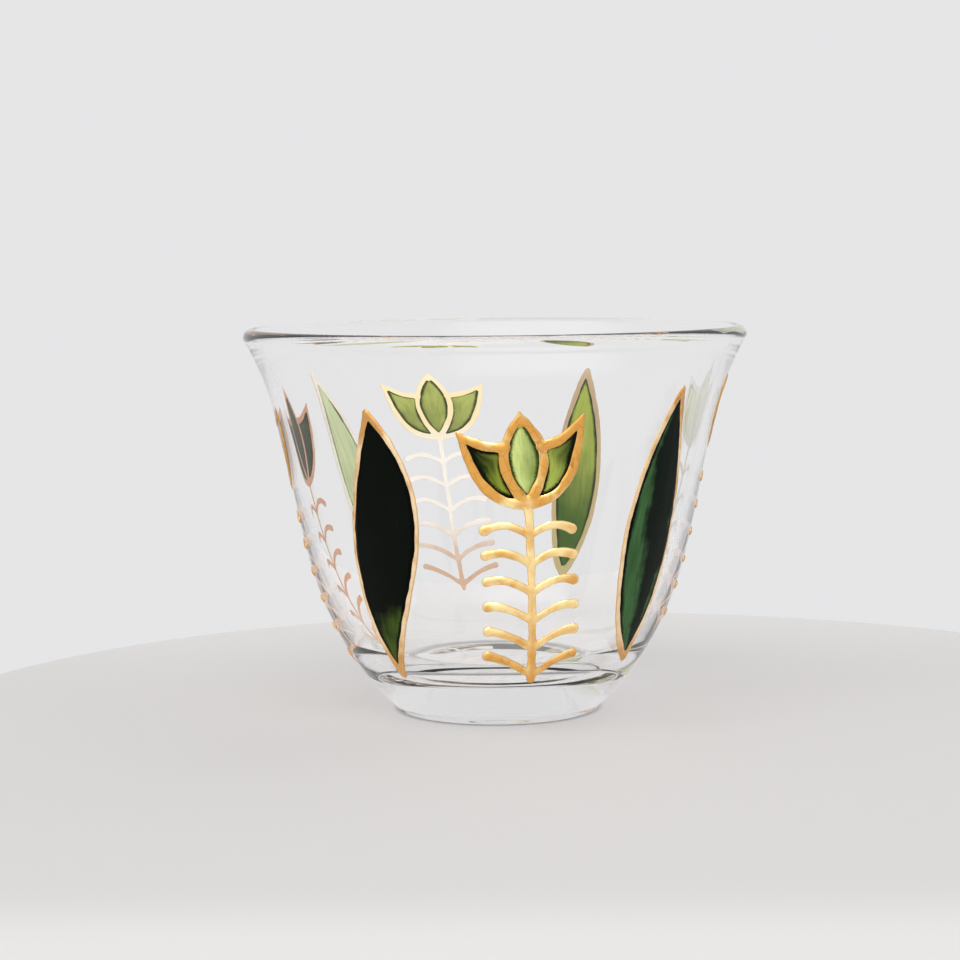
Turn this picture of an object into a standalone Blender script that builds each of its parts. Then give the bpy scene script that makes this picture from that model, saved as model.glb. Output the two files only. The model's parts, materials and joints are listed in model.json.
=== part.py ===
"""Small flared glass coffee cup, painted with tulips and leaves in raised gold line and green enamel."""

import math

import bmesh
import bpy

MM = 0.001
WELD = 0.001 * MM

# Glass body: the outer wall is a saturating bowl curve plus a power-law flare at the lip
FLARE_HEIGHT = 50.5 * MM
FOOT_RADIUS = 13.06 * MM
BOWL_SPREAD = 15.14 * MM
BOWL_RISE = 13.73 * MM
LIP_FLARE = 5.91 * MM
FLARE_POWER = 5.275
LIP_START = 49.0 * MM
LIP_ROUND = 1.05 * MM
WALL_START = 0.6 * MM
INNER_WALL_START = 9.5 * MM
LOW_WALL = 2.35 * MM
MIDDLE_WALL = 1.2 * MM
FLOOR_HEIGHT = 6.5 * MM
FLOOR_RADIUS = 10.0 * MM
FLOOR_BEND = 0.6
WALL_BEND = 0.5
FOOT_RING_OUTER = 12.5 * MM
FOOT_RING_INNER = 10.6 * MM
FOOT_DISH = 0.5 * MM
TURN_STEPS = 64

# Paint: bead radii, enamel film and the gap that keeps each piece apart from the next
PAINT_GAP = 0.1 * MM
OUTLINE_BEAD = 0.6 * MM
STEM_BEAD = 0.55 * MM
LEAFLET_BEAD = 0.45 * MM
LEAF_BEAD = 0.45 * MM
ENAMEL_FILM = 0.25 * MM
FILL_CLEARANCE = 0.25 * MM
FILL_END = 0.4 * MM

# Tulip: head points as (across, height) from the stem, and the ladder of leaflets
HEAD_BASE = (0.0 * MM, 29.9 * MM)
SIDE_TIP = (7.9 * MM, 39.4 * MM)
SIDE_LOW_PULL = (5.4 * MM, 30.1 * MM)
SIDE_HIGH_PULL = (6.7 * MM, 33.6 * MM)
NOTCH_PULL = (4.9 * MM, 37.7 * MM)
MIDDLE_TIP = (0.0 * MM, 41.4 * MM)
MIDDLE_HALF_WIDTH = 2.6 * MM
NOTCH_SHARE = 0.66
REACH_SPREAD = 0.3
STEM_FOOT_HEIGHT = 7.0 * MM
LEAFLET_TOP = 25.7 * MM
LEAFLET_PITCH = 3.65 * MM
LEAFLET_PAIRS = 6
LEAFLET_LENGTH = 5.5 * MM
LEAFLET_RISE_TOP = 0.9 * MM
LEAFLET_RISE_LOW = 2.9 * MM
LEAFLET_ARCH_TOP = 1.0 * MM
LEAFLET_ARCH_LOW = 0.4 * MM

# Tulips round the cup: bearing, lift of the foot, sideways lean per height, scale, head scale, tilt of the
# head and how much further up its right petal reaches. Bearings and tilts are in degrees.
TULIPS = (
    (8.4, 0.0 * MM, -0.06, 1.0, 0.94, 4.0, 1.0 * MM),
    (96.0, 2.4 * MM, 0.0, 1.08, 0.95, 0.0, 0.0 * MM),
    (197.4, 4.4 * MM, 0.07, 1.0, 0.96, 0.0, 0.0 * MM),
    (266.5, -2.4 * MM, 0.0, 1.08, 1.05, 0.0, 0.0 * MM),
)

# Leaves round the cup: bearing, foot and tip height, lean, then width and widest place of each edge
LEAVES = (
    (51.6, 8.4 * MM, 43.2 * MM, -1.2 * MM, (6.0 * MM, 0.42), (2.8 * MM, 0.55)),
    (154.1, 13.5 * MM, 46.0 * MM, 0.0 * MM, (3.9 * MM, 0.45), (2.9 * MM, 0.40)),
    (233.5, 10.0 * MM, 45.2 * MM, 6.0 * MM, (5.2 * MM, 0.45), (1.6 * MM, 0.50)),
    (325.0, 7.0 * MM, 41.0 * MM, 2.6 * MM, (3.6 * MM, 0.48), (5.8 * MM, 0.60)),
)


def wall_radius(height):
    """Outer radius of the glass at a height."""
    bowl = BOWL_SPREAD * (1.0 - math.exp(-height / BOWL_RISE))
    flare = LIP_FLARE * (height / FLARE_HEIGHT) ** FLARE_POWER
    return FOOT_RADIUS + bowl + flare


def wall_normal(height):
    """Outward direction of the outer wall at a height, as (radial, up)."""
    bowl = BOWL_SPREAD / BOWL_RISE * math.exp(-height / BOWL_RISE)
    flare = LIP_FLARE * FLARE_POWER / FLARE_HEIGHT * (height / FLARE_HEIGHT) ** (FLARE_POWER - 1.0)
    slope = bowl + flare
    length = math.hypot(1.0, slope)
    return 1.0 / length, -slope / length


def offset_wall(height, lift):
    """Radius and height of the point that stands off the outer wall by a lift."""
    radial, up = wall_normal(height)
    return wall_radius(height) + lift * radial, height + lift * up


def wall_point(bearing, across, height, lift):
    """Point off the wall: bearing from the front, distance across along the wall, height."""
    radius, level = offset_wall(height, lift)
    angle = bearing + across / wall_radius(height)
    return radius * math.sin(angle), -radius * math.cos(angle), level


def steps_between(first, last, count):
    """Evenly spaced values from first to last, both included."""
    return [first + (last - first) * i / (count - 1) for i in range(count)]


def bezier(start, pull, second_pull, end, count):
    """Points along a cubic Bezier curve in a plane."""
    points = []
    for t in steps_between(0.0, 1.0, count):
        weights = ((1 - t) ** 3, 3 * t * (1 - t) ** 2, 3 * t * t * (1 - t), t ** 3)
        pairs = list(zip(weights, (start, pull, second_pull, end)))
        points.append((sum(w * p[0] for w, p in pairs), sum(w * p[1] for w, p in pairs)))
    return points


def even_points(path, count):
    """The same path with its points evenly spaced along it."""
    lengths = [0.0]
    for a, b in zip(path, path[1:]):
        lengths.append(lengths[-1] + math.dist(a, b))
    points = []
    place = 0
    for want in steps_between(0.0, lengths[-1], count):
        while place < len(path) - 2 and lengths[place + 1] < want:
            place += 1
        share = (want - lengths[place]) / (lengths[place + 1] - lengths[place])
        a, b = path[place], path[place + 1]
        points.append((a[0] + (b[0] - a[0]) * share, a[1] + (b[1] - a[1]) * share))
    return points


def lens_edge(base, tip, bulge, belly, count):
    """One edge of a lens shape from its base to its tip, bulging most at the belly share of its length."""
    points = []
    for t in steps_between(0.0, 1.0, count):
        share = t ** (math.log(0.5) / math.log(belly))
        across = base[0] + (tip[0] - base[0]) * t + bulge * 4.0 * share * (1.0 - share)
        points.append((across, base[1] + (tip[1] - base[1]) * t))
    return points


def add_object(name, mesh, collection, material):
    """New object in a collection, with its material."""
    thing = bpy.data.objects.new(name, mesh)
    collection.objects.link(thing)
    if material:
        mesh.materials.append(material)
    return thing


def smooth(thing):
    """Smooth shading that keeps the true corners."""
    thing.data.shade_smooth()
    thing.data.set_sharp_from_angle(angle=math.radians(40.0))


def turned(name, profile, collection, material):
    """Solid of revolution about Z from a profile of (radius, height) points."""
    mesh = bpy.data.meshes.new(name)
    edges = [(i, i + 1) for i in range(len(profile) - 1)]
    mesh.from_pydata([(radius, 0.0, height) for radius, height in profile], edges, [])
    thing = add_object(name, mesh, collection, material)
    screw = thing.modifiers.new("turn", "SCREW")
    screw.axis = "Z"
    screw.steps = TURN_STEPS
    screw.render_steps = TURN_STEPS
    screw.use_merge_vertices = True
    screw.merge_threshold = WELD
    screw.use_smooth_shade = True
    return thing


def outer_wall(lift, count):
    """Outer wall profile from the lip down to the foot."""
    return [offset_wall(height, lift) for height in steps_between(LIP_START, WALL_START, count)]


def lip_arc(count):
    """Half round over the lip, from the inner wall to the outer wall, ends left out."""
    radial, up = wall_normal(LIP_START)
    centre = offset_wall(LIP_START, -LIP_ROUND)
    outward = math.atan2(up, radial)
    angles = steps_between(outward + math.pi, outward, count)[1:-1]
    return [(centre[0] + LIP_ROUND * math.cos(a), centre[1] + LIP_ROUND * math.sin(a)) for a in angles]


def inner_wall(count):
    """Inner wall profile from the bowl up to the lip; the wall is thinnest in the middle."""
    points = []
    for height in steps_between(INNER_WALL_START, LIP_START, count):
        share = (height - INNER_WALL_START) / (LIP_START - INNER_WALL_START)
        low = (LOW_WALL - MIDDLE_WALL) * (1.0 - share) ** 2
        high = (2.0 * LIP_ROUND - MIDDLE_WALL) * share ** 6
        points.append(offset_wall(height, -MIDDLE_WALL - low - high))
    return points


def floor_curve(wall, count):
    """Inside floor and its round corner, from the axis out to the start of the inner wall."""
    join = wall[0]
    down = (join[0] - wall[1][0], join[1] - wall[1][1])
    reach = WALL_BEND * (join[1] - FLOOR_HEIGHT) / -down[1]
    pull = (join[0] + down[0] * reach, join[1] + down[1] * reach)
    edge = (FLOOR_RADIUS, FLOOR_HEIGHT)
    bend = (FLOOR_RADIUS + FLOOR_BEND * (pull[0] - FLOOR_RADIUS), FLOOR_HEIGHT)
    return [(0.0, FLOOR_HEIGHT)] + bezier(edge, bend, pull, join, count)[:-1]


def foot_curve():
    """Rounded foot edge, flat standing ring and shallow dish, from the wall in to the axis."""
    edge = (0.5 * (FOOT_RING_OUTER + wall_radius(WALL_START)), 0.15 * WALL_START)
    dish = (0.6 * FOOT_RING_INNER, 0.7 * FOOT_DISH)
    return [edge, (FOOT_RING_OUTER, 0.0), (FOOT_RING_INNER, 0.0), dish, (0.0, FOOT_DISH)]


def glass_cup(collection, material):
    """Whole glass body from one turned profile."""
    wall = inner_wall(10)
    profile = floor_curve(wall, 7) + wall + lip_arc(8) + outer_wall(0.0, 15) + foot_curve()
    return turned("glass_cup", profile, collection, material)


def paint_bed(collection):
    """Cutter: the outer wall plus the paint gap as a solid, which leaves each bead half round."""
    wall = outer_wall(PAINT_GAP, 15)
    bed = turned("paint_bed", [(0.0, wall[0][1])] + wall + [(0.0, wall[-1][1])], collection, None)
    bed.hide_render = True
    bed.display_type = "WIRE"
    return bed


def bead_line(name, bearing, strokes, bed, collection, material):
    """One gold bead piece: strokes of (path, radius, closed) swept on the wall and trimmed to it."""
    curve = bpy.data.curves.new(name, "CURVE")
    curve.dimensions = "3D"
    curve.bevel_depth = 1.0
    curve.bevel_resolution = 1
    curve.use_fill_caps = True
    for path, radius, closed in strokes:
        spline = curve.splines.new("POLY")
        spline.points.add(len(path) - 1)
        spline.use_cyclic_u = closed
        for point, (across, height) in zip(spline.points, path):
            point.co = (*wall_point(bearing, across, height, PAINT_GAP), 1.0)
            point.radius = radius
    sweep = add_object(name + "_sweep", curve, collection, None)
    bpy.context.view_layer.update()
    mesh = bpy.data.meshes.new_from_object(sweep.evaluated_get(bpy.context.evaluated_depsgraph_get()))
    mesh.name = name
    bpy.data.objects.remove(sweep)
    shape = bmesh.new()
    shape.from_mesh(mesh)
    bmesh.ops.remove_doubles(shape, verts=shape.verts, dist=WELD)
    bmesh.ops.recalc_face_normals(shape, faces=shape.faces)
    shape.to_mesh(mesh)
    shape.free()
    mesh.materials.clear()
    bead = add_object(name, mesh, collection, material)
    smooth(bead)
    trim = bead.modifiers.new("trim", "BOOLEAN")
    trim.operation = "DIFFERENCE"
    trim.solver = "EXACT"
    trim.use_self = True
    trim.object = bed
    return bead


def enamel_fill(name, bearing, left, right, inset, rows, columns, collection, material):
    """Enamel film between two edges, kept clear of the bead that runs along them."""
    rungs = list(zip(even_points(left, 60), even_points(right, 60)))
    rungs = [rung for rung in rungs if math.dist(*rung) > 2.0 * inset + FILL_END]
    points = []
    for row in range(rows):
        a, b = rungs[round(row * (len(rungs) - 1) / (rows - 1))]
        width = math.dist(a, b)
        for share in steps_between(inset / width, 1.0 - inset / width, columns):
            across = a[0] + (b[0] - a[0]) * share
            height = a[1] + (b[1] - a[1]) * share
            points.append(wall_point(bearing, across, height, PAINT_GAP))
    faces = []
    for row in range(rows - 1):
        for column in range(columns - 1):
            corner = row * columns + column
            faces.append((corner, corner + 1, corner + columns + 1, corner + columns))
    mesh = bpy.data.meshes.new(name)
    mesh.from_pydata(points, [], faces)
    fill = add_object(name, mesh, collection, material)
    smooth(fill)
    film = fill.modifiers.new("film", "SOLIDIFY")
    film.thickness = ENAMEL_FILM
    film.offset = 1.0
    return fill


def turned_head(path, side, scale, tilt):
    """A head path on one side of the stem, scaled and tilted about the place where the head joins it."""
    cosine = scale * math.cos(tilt)
    sine = scale * math.sin(tilt)
    points = []
    for across, height in path:
        out = side * across
        rise = height - HEAD_BASE[1]
        points.append((out * cosine - rise * sine, HEAD_BASE[1] + out * sine + rise * cosine))
    return points


def placed(path, lift, lean, scale):
    """A tulip path scaled about the stem's foot, lifted up the wall and leaned sideways."""
    points = []
    for across, height in path:
        rise = (height - STEM_FOOT_HEIGHT) * scale
        sway = lean * (rise - (HEAD_BASE[1] - STEM_FOOT_HEIGHT) * scale)
        points.append((across * scale + sway, STEM_FOOT_HEIGHT + lift + rise))
    return points


def leaflet(pair, side):
    """Centre line of one leaflet: the upper pairs arch, the lower ones reach up."""
    low = pair / (LEAFLET_PAIRS - 1)
    root = LEAFLET_TOP - LEAFLET_PITCH * pair
    rise = LEAFLET_RISE_TOP + (LEAFLET_RISE_LOW - LEAFLET_RISE_TOP) * low
    arch = LEAFLET_ARCH_TOP + (LEAFLET_ARCH_LOW - LEAFLET_ARCH_TOP) * low
    points = []
    for t in steps_between(0.0, 1.0, 5):
        points.append((side * LEAFLET_LENGTH * t, root + rise * t + arch * 4.0 * t * (1.0 - t)))
    return points


def head_half(side, scale, tilt, reach):
    """Paths of one half of a tulip head: edge of the middle petal, side, top edge and inner edge."""
    tip = (SIDE_TIP[0] + REACH_SPREAD * reach, SIDE_TIP[1] + reach)
    middle = lens_edge(HEAD_BASE, MIDDLE_TIP, MIDDLE_HALF_WIDTH, 0.5, 9)
    outer = bezier(HEAD_BASE, SIDE_LOW_PULL, SIDE_HIGH_PULL, tip, 8)
    notch = round(NOTCH_SHARE * (len(middle) - 1))
    top = bezier(middle[notch], NOTCH_PULL, NOTCH_PULL, tip, 5)
    inner = middle[:notch + 1] + top[1:]
    return [turned_head(path, side, scale, tilt) for path in (middle, outer, top, inner)]


def tulip(number, bearing, lift, lean, scale, head_scale, tilt, reach, bed, collection, gold, green):
    """One tulip: gold line piece and three petal fills."""
    tilt = math.radians(tilt)
    left_middle, left_outer, left_top, left_inner = head_half(-1, head_scale, tilt, 0.0)
    right_middle, right_outer, right_top, right_inner = head_half(1, head_scale, tilt, reach)
    stem = [(0.0, height) for height in steps_between(HEAD_BASE[1], STEM_FOOT_HEIGHT, 7)]
    strokes = [
        (left_middle + right_middle[-2:0:-1], OUTLINE_BEAD, True),
        (left_outer[:0:-1] + right_outer, OUTLINE_BEAD, False),
        (left_top, OUTLINE_BEAD, False),
        (right_top, OUTLINE_BEAD, False),
        (stem, STEM_BEAD, False),
    ]
    for pair in range(LEAFLET_PAIRS):
        strokes.append((leaflet(pair, -1), LEAFLET_BEAD, False))
        strokes.append((leaflet(pair, 1), LEAFLET_BEAD, False))
    strokes = [(placed(path, lift, lean, scale), radius, closed) for path, radius, closed in strokes]
    name = f"tulip_{number}_"
    bead_line(name + "gold_line", bearing, strokes, bed, collection, gold)

    inset = OUTLINE_BEAD + FILL_CLEARANCE
    petals = (
        ("left", left_outer, left_inner),
        ("middle", left_middle, right_middle),
        ("right", right_inner, right_outer),
    )
    for label, *edges in petals:
        left, right = (placed(edge, lift, lean, scale) for edge in edges)
        enamel_fill(name + label + "_petal", bearing, left, right, inset, 7, 4, collection, green)


def leaf(number, bearing, foot, tip, lean, left, right, bed, collection, gold, green):
    """One leaf: closed gold bead and its green fill."""
    base = (-0.5 * lean, foot)
    point = (0.5 * lean, tip)
    left_edge = lens_edge(base, point, -left[0], left[1], 15)
    right_edge = lens_edge(base, point, right[0], right[1], 15)
    name = f"leaf_{number}_"
    loop = left_edge + right_edge[-2:0:-1]
    bead_line(name + "gold_line", bearing, [(loop, LEAF_BEAD, True)], bed, collection, gold)
    inset = LEAF_BEAD + FILL_CLEARANCE
    enamel_fill(name + "green_fill", bearing, left_edge, right_edge, inset, 13, 5, collection, green)


def plain_material(name, colour, roughness, metallic, transmission):
    """Material of one colour."""
    material = bpy.data.materials.new(name)
    material.use_nodes = True
    shader = material.node_tree.nodes["Principled BSDF"]
    shader.inputs["Base Color"].default_value = (*colour, 1.0)
    shader.inputs["Roughness"].default_value = roughness
    shader.inputs["Metallic"].default_value = metallic
    shader.inputs["Transmission Weight"].default_value = transmission
    return material


for leftover in list(bpy.data.objects):
    bpy.data.objects.remove(leftover)

cup_parts = bpy.data.collections.new("painted_glass_cup")
bpy.context.scene.collection.children.link(cup_parts)
cutters = bpy.data.collections.new("cutters")
bpy.context.scene.collection.children.link(cutters)

clear_glass = plain_material("clear_glass", (0.95, 0.96, 0.96), 0.02, 0.0, 1.0)
gold_paste = plain_material("gold_paste", (0.72, 0.46, 0.13), 0.35, 0.6, 0.0)
petal_green = plain_material("petal_green", (0.22, 0.30, 0.05), 0.15, 0.0, 0.3)
leaf_green = plain_material("leaf_green", (0.02, 0.07, 0.03), 0.12, 0.0, 0.3)

glass_cup(cup_parts, clear_glass)
wall_bed = paint_bed(cutters)
for index, (degrees, *tulip_values) in enumerate(TULIPS, 1):
    tulip(index, math.radians(degrees), *tulip_values, wall_bed, cup_parts, gold_paste, petal_green)
for index, (degrees, *leaf_values) in enumerate(LEAVES, 1):
    leaf(index, math.radians(degrees), *leaf_values, wall_bed, cup_parts, gold_paste, leaf_green)
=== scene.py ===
"""Looks of the small painted glass cup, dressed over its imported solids."""

import json
import math

import bpy
from mathutils import Matrix, Vector

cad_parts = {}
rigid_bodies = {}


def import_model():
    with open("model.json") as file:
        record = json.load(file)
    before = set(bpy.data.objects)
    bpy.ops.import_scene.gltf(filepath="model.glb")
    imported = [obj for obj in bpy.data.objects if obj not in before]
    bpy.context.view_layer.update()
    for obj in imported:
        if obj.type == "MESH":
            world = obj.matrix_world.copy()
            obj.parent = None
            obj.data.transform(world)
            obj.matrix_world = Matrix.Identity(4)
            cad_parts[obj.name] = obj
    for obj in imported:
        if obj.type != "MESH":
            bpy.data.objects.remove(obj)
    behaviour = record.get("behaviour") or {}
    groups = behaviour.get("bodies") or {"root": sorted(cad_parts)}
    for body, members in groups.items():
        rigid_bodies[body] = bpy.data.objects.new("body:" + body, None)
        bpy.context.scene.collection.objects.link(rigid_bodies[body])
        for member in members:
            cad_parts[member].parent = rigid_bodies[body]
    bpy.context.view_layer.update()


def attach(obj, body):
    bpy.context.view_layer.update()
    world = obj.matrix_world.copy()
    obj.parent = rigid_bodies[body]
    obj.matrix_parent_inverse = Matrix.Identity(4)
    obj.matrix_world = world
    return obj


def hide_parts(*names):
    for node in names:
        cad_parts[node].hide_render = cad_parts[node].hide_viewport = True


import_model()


# Glass body: one piece of clear pressed glass, fire polished, with a thick foot, a thin wall and a lip
# turned out to drink from. One wall rule gives the outside. Each strip of the profile is a sheet of
# nodes that is rolled round the axis, and the strips are welded into one closed wall.
MM = 0.001
TURNS = 257
WELD = 0.001
GLASS_INDEX = 1.5
GLASS_TINT = (0.30, 0.24, 0.21, 1.0)
GLASS_TINT_DENSITY = 5.0
WHITE = (1.0, 1.0, 1.0, 1.0)
INSIDE_DEPTH = (0.7, 1.0)
QUIET_BOTTOM = (11.0, 13.0)
QUIET_TOP = (44.0, 47.0)
QUIET_RIGHT = (14.0, 24.0)
TOTAL_REFLECTION = (0.90, 0.98)
GLASS_WALL = {
    "Foot Radius": 13.06,
    "Bowl Spread": 15.14,
    "Bowl Rise": 13.73,
    "Lip Flare": 5.91,
    "Flare Power": 5.275,
    "Flare Height": 50.5,
}
GLASS_PROFILE = {
    "Lip Start": 49.0,
    "Lip Round": 1.05,
    "Inner Wall Start": 9.5,
    "Low Wall": 2.35,
    "Middle Wall": 1.2,
    "Floor Height": 6.5,
    "Floor Radius": 10.0,
    "Foot Start": 0.6,
    "Ring Outer": 12.5,
    "Ring Inner": 10.6,
    "Foot Dish": 0.5,
}


class Wire:
    """A socket of a node tree: arithmetic on it adds Math nodes, and node() adds any other node."""

    def __init__(self, tree, socket=None):
        self.tree = tree
        self.socket = socket

    def node(self, kind, settings, values, output=0):
        """Adds a node: its settings first, then the values or links of its sockets."""
        made = self.tree.nodes.new(kind)
        for name, value in settings.items():
            setattr(made, name, value)
        for name, value in values.items():
            for item in value if isinstance(value, list) else [value]:
                if isinstance(item, Wire):
                    self.tree.links.new(item.socket, made.inputs[name])
                else:
                    made.inputs[name].default_value = item
        return Wire(self.tree, made.outputs[output] if made.outputs else None)

    def output(self, name):
        """Another output of the node that this wire comes from."""
        return Wire(self.tree, self.socket.node.outputs[name])

    def math(self, operation, *values):
        return self.node("ShaderNodeMath", {"operation": operation}, dict(enumerate(values)))

    def __add__(self, other):
        return self.math("ADD", self, other)

    def __radd__(self, other):
        return self.math("ADD", other, self)

    def __sub__(self, other):
        return self.math("SUBTRACT", self, other)

    def __rsub__(self, other):
        return self.math("SUBTRACT", other, self)

    def __mul__(self, other):
        return self.math("MULTIPLY", self, other)

    def __rmul__(self, other):
        return self.math("MULTIPLY", other, self)

    def __truediv__(self, other):
        return self.math("DIVIDE", self, other)

    def __pow__(self, other):
        return self.math("POWER", self, other)

    def __rpow__(self, other):
        return self.math("POWER", other, self)

    def __neg__(self):
        return self.math("MULTIPLY", self, -1.0)

    def xyz(self):
        """The three numbers of a vector."""
        split = self.node("ShaderNodeSeparateXYZ", {}, {"Vector": self})
        return [split.output(name) for name in "XYZ"]

    def between(self, low, high):
        """Smooth step from 0 at low to 1 at high."""
        smooth = {"interpolation_type": "SMOOTHSTEP"}
        return self.node("ShaderNodeMapRange", smooth, {0: self, 1: low, 2: high})

    def mix(self, first, second):
        """A colour from first to second, with this wire as the share."""
        return self.node("ShaderNodeMix", {"data_type": "RGBA"}, {0: self, 6: first, 7: second}, 2)


def wall_radius(size, height):
    """Outer radius of the glass: a bowl that fills out fast and a flare that comes in near the lip."""
    bowl = size["Bowl Spread"] * (1.0 - math.e ** (-height / size["Bowl Rise"]))
    flare = size["Lip Flare"] * (height / size["Flare Height"]) ** size["Flare Power"]
    return size["Foot Radius"] + bowl + flare


def wall_slope(size, height):
    """Outward run of the wall for each step up."""
    bowl = size["Bowl Spread"] / size["Bowl Rise"] * math.e ** (-height / size["Bowl Rise"])
    steepness = size["Lip Flare"] * size["Flare Power"] / size["Flare Height"]
    return bowl + steepness * (height / size["Flare Height"]) ** (size["Flare Power"] - 1.0)


def off_wall(size, height, lift):
    """Radius and height of a place that stands off the outer wall by a lift."""
    slope = wall_slope(size, height)
    length = (1.0 + slope * slope) ** 0.5
    return wall_radius(size, height) + lift / length, height - lift * slope / length


def bezier(t, *points):
    """Place at share t along a cubic Bezier curve in a plane."""
    weights = ((1.0 - t) ** 3, 3.0 * t * (1.0 - t) ** 2, 3.0 * t * t * (1.0 - t), t ** 3)
    return tuple(sum(weight * point[i] for weight, point in zip(weights, points)) for i in (0, 1))


def inner_wall(size, t):
    """Inside of the wall from the bowl to the lip, thinnest in the middle."""
    height = size["Inner Wall Start"] + (size["Lip Start"] - size["Inner Wall Start"]) * t
    low = (size["Low Wall"] - size["Middle Wall"]) * (1.0 - t) ** 2
    high = (2.0 * size["Lip Round"] - size["Middle Wall"]) * t ** 6
    return off_wall(size, height, -1.0 * (size["Middle Wall"] + low + high))


def floor_corner(size, t):
    """Round corner from the flat inside floor up to the wall."""
    wall_bend, floor_bend, step = 0.5, 0.6, 0.02
    join, ahead = inner_wall(size, 0.0), inner_wall(size, step)
    reach = wall_bend * (join[1] - size["Floor Height"]) / (ahead[1] - join[1])
    pull = [join[i] - (ahead[i] - join[i]) * reach for i in (0, 1)]
    bend = (size["Floor Radius"] + floor_bend * (pull[0] - size["Floor Radius"]), size["Floor Height"])
    return bezier(t, (size["Floor Radius"], size["Floor Height"]), bend, pull, join)


def lip_round(size, t):
    """Half round over the lip, from the inner to the outer wall."""
    slope = wall_slope(size, size["Lip Start"])
    length = (1.0 + slope * slope) ** 0.5
    middle = off_wall(size, size["Lip Start"], -1.0 * size["Lip Round"])
    turn = math.pi * (1.0 - t)
    cosine, sine = turn.math("COSINE", turn), turn.math("SINE", turn)
    reach = size["Lip Round"] / length
    return middle[0] + reach * (cosine + slope * sine), middle[1] + reach * (sine - slope * cosine)


def outer_wall(size, t):
    """Outside of the wall from the lip down to the foot."""
    height = size["Lip Start"] + (size["Foot Start"] - size["Lip Start"]) * t
    return wall_radius(size, height), height


def foot_round(size, t):
    """Rounded edge from the wall to the ring that the cup stands on."""
    corner = (wall_radius(size, 0.4 * size["Foot Start"]), 0.0 * t)
    start = (wall_radius(size, size["Foot Start"]), size["Foot Start"])
    return bezier(t, start, corner, corner, (size["Ring Outer"], 0.0))


def node_tree(name, sizes):
    """A geometry node tree with named inputs, as a dictionary of their wires."""
    tree = bpy.data.node_groups.new(name, "GeometryNodeTree")
    kinds = {float: "NodeSocketFloat", int: "NodeSocketInt"}
    tree.interface.new_socket("Geometry", in_out="OUTPUT", socket_type="NodeSocketGeometry")
    tree.interface.new_socket("Geometry", in_out="INPUT", socket_type="NodeSocketGeometry")
    tree.interface.new_socket("Material", in_out="INPUT", socket_type="NodeSocketMaterial")
    tree.interface.new_socket("Back Material", in_out="INPUT", socket_type="NodeSocketMaterial")
    for label, value in sizes.items():
        tree.interface.new_socket(label, in_out="INPUT", socket_type=kinds[type(value)])
    way_in = tree.nodes.new("NodeGroupInput")
    return {socket.name: Wire(tree, socket) for socket in way_in.outputs if socket.name}


def close_tree(geometry, size, bed=None):
    """Ends a tree: instances made real, smooth shading, the material, that of the bed, and the way out."""
    real = geometry.node("GeometryNodeRealizeInstances", {}, {"Geometry": geometry})
    smooth = geometry.node("GeometryNodeSetShadeSmooth", {}, {"Geometry": real})
    dressed = geometry.node("GeometryNodeSetMaterial", {}, {"Geometry": smooth, "Material": size["Material"]})
    if bed:
        bed_values = {"Geometry": dressed, "Selection": bed, "Material": size["Back Material"]}
        dressed = geometry.node("GeometryNodeSetMaterial", {}, bed_values)
    geometry.node("NodeGroupOutput", {}, {"Geometry": dressed})


def made_piece(name, start, tree, values, stands_for):
    """Runs a tree on a start mesh and keeps the result as a plain mesh that stands for CAD nodes."""
    piece = bpy.data.objects.new(name, start)
    bpy.context.scene.collection.objects.link(piece)
    run = piece.modifiers.new("make", "NODES")
    run.node_group = tree
    for item in tree.interface.items_tree:
        if item.in_out == "INPUT" and item.name in values:
            run[item.identifier] = values[item.name]
    graph = bpy.context.evaluated_depsgraph_get()
    mesh = bpy.data.meshes.new_from_object(piece.evaluated_get(graph))
    mesh.name = name
    piece.modifiers.remove(run)
    piece.data = mesh
    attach(piece, "root")
    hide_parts(*stands_for)


def turned_strip(size, turns, rows, rule):
    """One strip of the profile rolled round the axis."""
    start = size["Geometry"]
    sheet_size = {"Size X": 1.0, "Size Y": 1.0, "Vertices X": rows, "Vertices Y": turns}
    sheet = start.node("GeometryNodeMeshGrid", {}, sheet_size)
    x, y, _ = start.node("GeometryNodeInputPosition", {}, {}).xyz()
    radius, height = rule(size, x + 0.5)
    angle = (y + 0.5) * math.tau
    across = radius * angle.math("SINE", angle) * MM
    depth = radius * angle.math("COSINE", angle) * -MM
    place = start.node("ShaderNodeCombineXYZ", {}, {"X": across, "Y": depth, "Z": height * MM})
    return start.node("GeometryNodeSetPosition", {}, {"Geometry": sheet, "Position": place})


def turned_glass():
    """Tree of the whole glass body."""
    size = node_tree("turned_glass", {**GLASS_WALL, **GLASS_PROFILE, "Turns": TURNS})
    strips = (
        (10, lambda s, t: (s["Floor Radius"] * t, s["Floor Height"])),
        (40, floor_corner),
        (64, inner_wall),
        (24, lip_round),
        (96, outer_wall),
        (12, foot_round),
        (4, lambda s, t: (s["Ring Outer"] + (s["Ring Inner"] - s["Ring Outer"]) * t, 0.0 * t)),
        (12, lambda s, t: (s["Ring Inner"] * (1.0 - t), s["Foot Dish"] * (1.0 - (1.0 - t) ** 2))),
    )
    parts = [turned_strip(size, size["Turns"], rows, rule) for rows, rule in strips]
    joined = parts[0].node("GeometryNodeJoinGeometry", {}, {"Geometry": parts})
    welded = joined.node("GeometryNodeMergeByDistance", {}, {"Geometry": joined, "Distance": WELD * MM})
    close_tree(welded, size)
    return size["Geometry"].tree


def new_material(name):
    """An empty material and the wire that its nodes start from."""
    material = bpy.data.materials.new(name)
    material.use_nodes = True
    material.node_tree.nodes.clear()
    return material, Wire(material.node_tree)


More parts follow.
